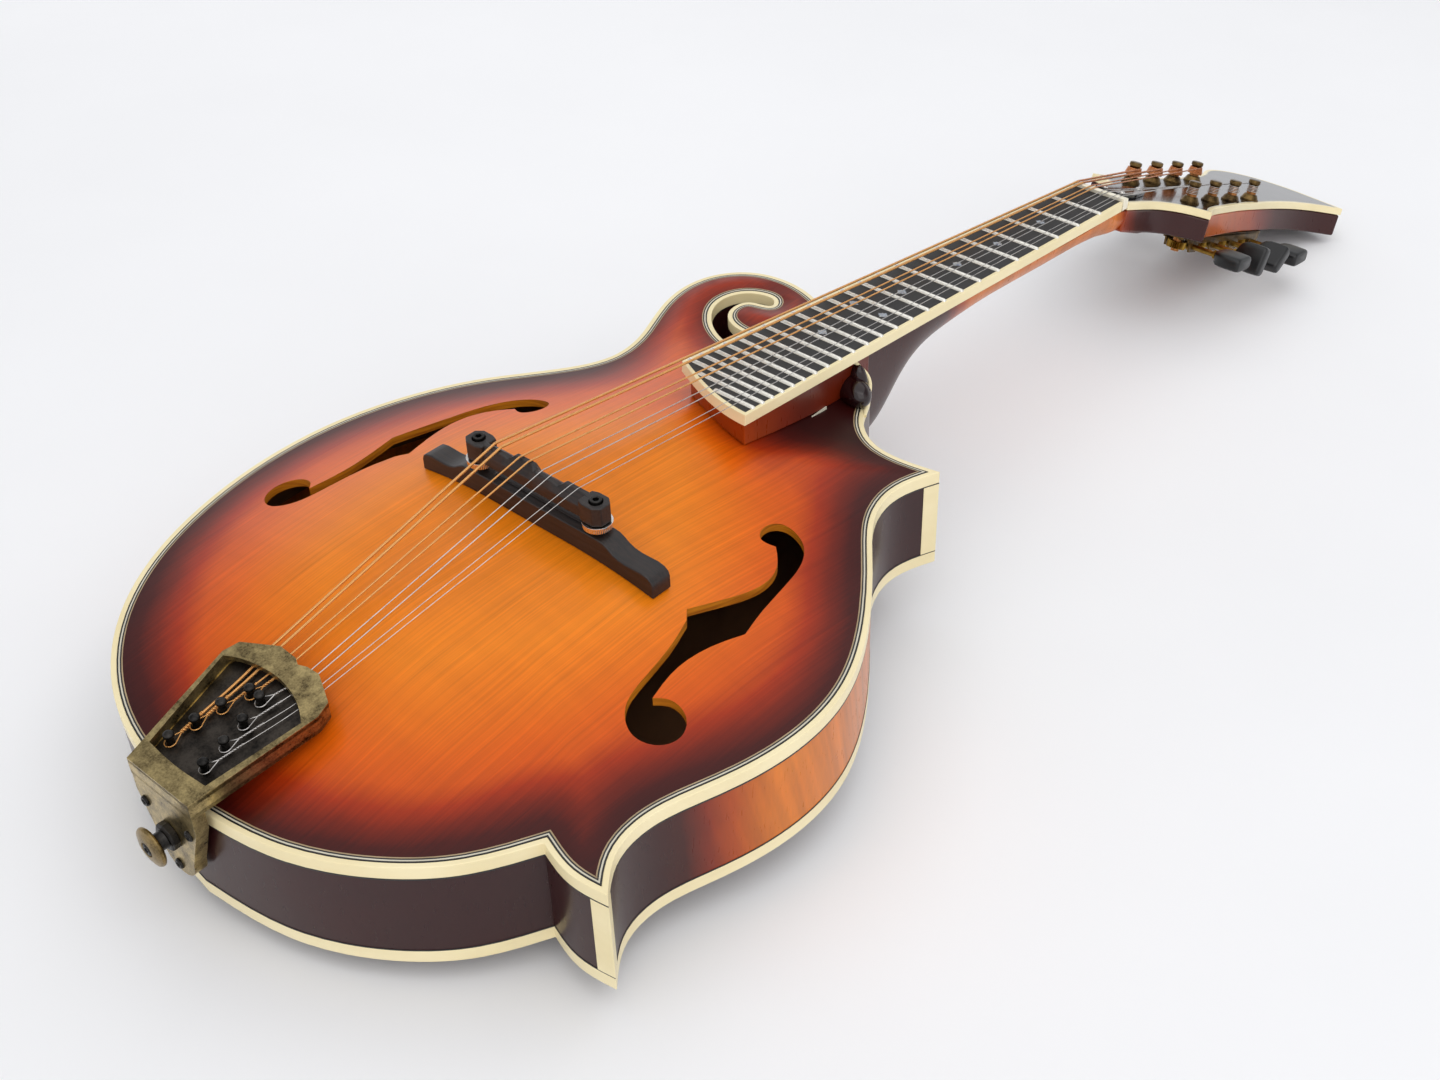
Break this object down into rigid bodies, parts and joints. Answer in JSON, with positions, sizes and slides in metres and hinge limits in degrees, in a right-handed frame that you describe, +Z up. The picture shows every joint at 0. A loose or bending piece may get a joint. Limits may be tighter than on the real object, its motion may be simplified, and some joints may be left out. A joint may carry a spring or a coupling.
{
  "type": "mandolin",
  "caption": "Carved-top sunburst mandolin with scroll and pointed body, f-holes, floating bridge, cast tailpiece and geared tuners.",
  "frame": {"origin": "centre of the bounding box at the surface it rests on: the arch of the back and the back of the headstock's end touch z = 0", "axes": "+Y from the tail to the headstock, +X to the treble side, +Z up out of the top; the whole instrument is tipped 3.7 degrees, head end up, about X as it rests"},
  "size_m": [0.249, 0.7268, 0.1001],
  "materials": {
    "spruce_top": "satin amber sunburst lacquer over straight-grained spruce",
    "maple_body": "dark brown to amber lacquer over flamed maple",
    "raw_wood": "bare sanded wood inside the body",
    "cream_binding": "cream celluloid",
    "ebony": "oiled black wood, steel frets in the board",
    "black_face": "gloss black",
    "black_button": "black moulded buttons on steel worm shafts",
    "bone": "polished bone",
    "antique_bronze": "mottled antique plating",
    "brass": "aged brass",
    "steel": "plain steel",
    "wound_string": "bronze winding on steel core",
    "plain_string": "plain steel wire"
  },
  "bodies": {
    "body": {"back_binding": "cream_binding", "back_lining_bass": "raw_wood", "back_lining_treble": "raw_wood", "back_plate": "maple_body", "bass_bridge_post": "steel", "bass_tone_bar": "raw_wood", "bass_tuner_plate": "brass", "bridge_base": "ebony", "fingerboard": "ebony", "fingerboard_binding": "cream_binding", "fingerboard_support": "maple_body", "head_block": "raw_wood", "headstock_binding": "cream_binding", "headstock_overlay": "black_face", "lower_point_block": "raw_wood", "lower_point_protector": "cream_binding", "neck": "maple_body", "nut": "bone", "rim": "maple_body", "soundboard": "spruce_top", "strap_button": "brass", "string_a_inner": "plain_string", "string_a_outer": "plain_string", "string_d_inner": "wound_string", "string_d_outer": "wound_string", "string_e_inner": "plain_string", "string_e_outer": "plain_string", "string_g_inner": "wound_string", "string_g_outer": "wound_string", "tail_block": "raw_wood", "tailpiece": "antique_bronze", "top_binding": "cream_binding", "top_lining_bass": "raw_wood", "top_lining_treble": "raw_wood", "treble_bridge_post": "steel", "treble_tone_bar": "raw_wood", "treble_tuner_plate": "brass", "truss_rod": "steel", "truss_rod_cover": "black_face", "upper_point_block": "raw_wood", "upper_point_protector": "cream_binding"},
    "bass_knob_1": {"bass_button_1": "black_button"},
    "bass_post_1": {"bass_tuner_post_1": "antique_bronze"},
    "bass_knob_2": {"bass_button_2": "black_button"},
    "bass_post_2": {"bass_tuner_post_2": "antique_bronze"},
    "bass_knob_3": {"bass_button_3": "black_button"},
    "bass_post_3": {"bass_tuner_post_3": "antique_bronze"},
    "bass_knob_4": {"bass_button_4": "black_button"},
    "bass_post_4": {"bass_tuner_post_4": "antique_bronze"},
    "treble_knob_1": {"treble_button_1": "black_button"},
    "treble_post_1": {"treble_tuner_post_1": "antique_bronze"},
    "treble_knob_2": {"treble_button_2": "black_button"},
    "treble_post_2": {"treble_tuner_post_2": "antique_bronze"},
    "treble_knob_3": {"treble_button_3": "black_button"},
    "treble_post_3": {"treble_tuner_post_3": "antique_bronze"},
    "treble_knob_4": {"treble_button_4": "black_button"},
    "treble_post_4": {"treble_tuner_post_4": "antique_bronze"},
    "saddle": {"bridge_saddle": "ebony"},
    "bass_wheel": {"bass_thumbwheel": "brass"},
    "treble_wheel": {"treble_thumbwheel": "brass"}
  },
  "joints": [
    {"name": "bass_knob_1_turn", "type": "hinge", "parent": "body", "child": "bass_knob_1", "pos_m": [-0.03446, 0.21222, 0.0395], "axis": [1, 0, 0], "continuous": true},
    {"name": "bass_post_1_turn", "type": "hinge", "parent": "body", "child": "bass_post_1", "pos_m": [-0.01486, 0.20534, 0.04164], "axis": [0, 0.297, 0.9549], "continuous": true},
    {"name": "bass_knob_2_turn", "type": "hinge", "parent": "body", "child": "bass_knob_2", "pos_m": [-0.03446, 0.23456, 0.03255], "axis": [1, 0, 0], "continuous": true},
    {"name": "bass_post_2_turn", "type": "hinge", "parent": "body", "child": "bass_post_2", "pos_m": [-0.01486, 0.22769, 0.03469], "axis": [0, 0.297, 0.9549], "continuous": true},
    {"name": "bass_knob_3_turn", "type": "hinge", "parent": "body", "child": "bass_knob_3", "pos_m": [-0.03446, 0.25691, 0.0256], "axis": [1, 0, 0], "continuous": true},
    {"name": "bass_post_3_turn", "type": "hinge", "parent": "body", "child": "bass_post_3", "pos_m": [-0.01486, 0.25003, 0.02774], "axis": [0, 0.297, 0.9549], "continuous": true},
    {"name": "bass_knob_4_turn", "type": "hinge", "parent": "body", "child": "bass_knob_4", "pos_m": [-0.03446, 0.27925, 0.01865], "axis": [1, 0, 0], "continuous": true},
    {"name": "bass_post_4_turn", "type": "hinge", "parent": "body", "child": "bass_post_4", "pos_m": [-0.01486, 0.27238, 0.02079], "axis": [0, 0.297, 0.9549], "continuous": true},
    {"name": "treble_knob_1_turn", "type": "hinge", "parent": "body", "child": "treble_knob_1", "pos_m": [0.03754, 0.21222, 0.0395], "axis": [1, 0, 0], "continuous": true},
    {"name": "treble_post_1_turn", "type": "hinge", "parent": "body", "child": "treble_post_1", "pos_m": [0.01794, 0.20534, 0.04164], "axis": [0, 0.297, 0.9549], "continuous": true},
    {"name": "treble_knob_2_turn", "type": "hinge", "parent": "body", "child": "treble_knob_2", "pos_m": [0.03754, 0.23456, 0.03255], "axis": [1, 0, 0], "continuous": true},
    {"name": "treble_post_2_turn", "type": "hinge", "parent": "body", "child": "treble_post_2", "pos_m": [0.01794, 0.22769, 0.03469], "axis": [0, 0.297, 0.9549], "continuous": true},
    {"name": "treble_knob_3_turn", "type": "hinge", "parent": "body", "child": "treble_knob_3", "pos_m": [0.03754, 0.25691, 0.0256], "axis": [1, 0, 0], "continuous": true},
    {"name": "treble_post_3_turn", "type": "hinge", "parent": "body", "child": "treble_post_3", "pos_m": [0.01794, 0.25003, 0.02774], "axis": [0, 0.297, 0.9549], "continuous": true},
    {"name": "treble_knob_4_turn", "type": "hinge", "parent": "body", "child": "treble_knob_4", "pos_m": [0.03754, 0.27925, 0.01865], "axis": [1, 0, 0], "continuous": true},
    {"name": "treble_post_4_turn", "type": "hinge", "parent": "body", "child": "treble_post_4", "pos_m": [0.01794, 0.27238, 0.02079], "axis": [0, 0.297, 0.9549], "continuous": true},
    {"name": "saddle_height", "type": "slide", "parent": "body", "child": "saddle", "axis": [0, -0.0649, 0.9979], "range_m": [-0.0015, 0]},
    {"name": "bass_wheel_turn", "type": "hinge", "parent": "saddle", "child": "bass_wheel", "pos_m": [-0.02666, -0.20191, 0.08838], "axis": [0, -0.0649, 0.9979], "range_deg": [-680, 0]},
    {"name": "treble_wheel_turn", "type": "hinge", "parent": "saddle", "child": "treble_wheel", "pos_m": [0.02974, -0.20191, 0.08838], "axis": [0, -0.0649, 0.9979], "range_deg": [-680, 0]}
  ],
  "couplings": [
    {"joint": "bass_post_1_turn", "follows": "bass_knob_1_turn", "ratio": -0.0625},
    {"joint": "bass_post_2_turn", "follows": "bass_knob_2_turn", "ratio": -0.0625},
    {"joint": "bass_post_3_turn", "follows": "bass_knob_3_turn", "ratio": -0.0625},
    {"joint": "bass_post_4_turn", "follows": "bass_knob_4_turn", "ratio": -0.0625},
    {"joint": "treble_post_1_turn", "follows": "treble_knob_1_turn", "ratio": 0.0625},
    {"joint": "treble_post_2_turn", "follows": "treble_knob_2_turn", "ratio": 0.0625},
    {"joint": "treble_post_3_turn", "follows": "treble_knob_3_turn", "ratio": 0.0625},
    {"joint": "treble_post_4_turn", "follows": "treble_knob_4_turn", "ratio": 0.0625},
    {"joint": "bass_wheel_turn", "follows": "saddle_height", "rad_per_m": 7854},
    {"joint": "treble_wheel_turn", "follows": "saddle_height", "rad_per_m": 7854}
  ]
}
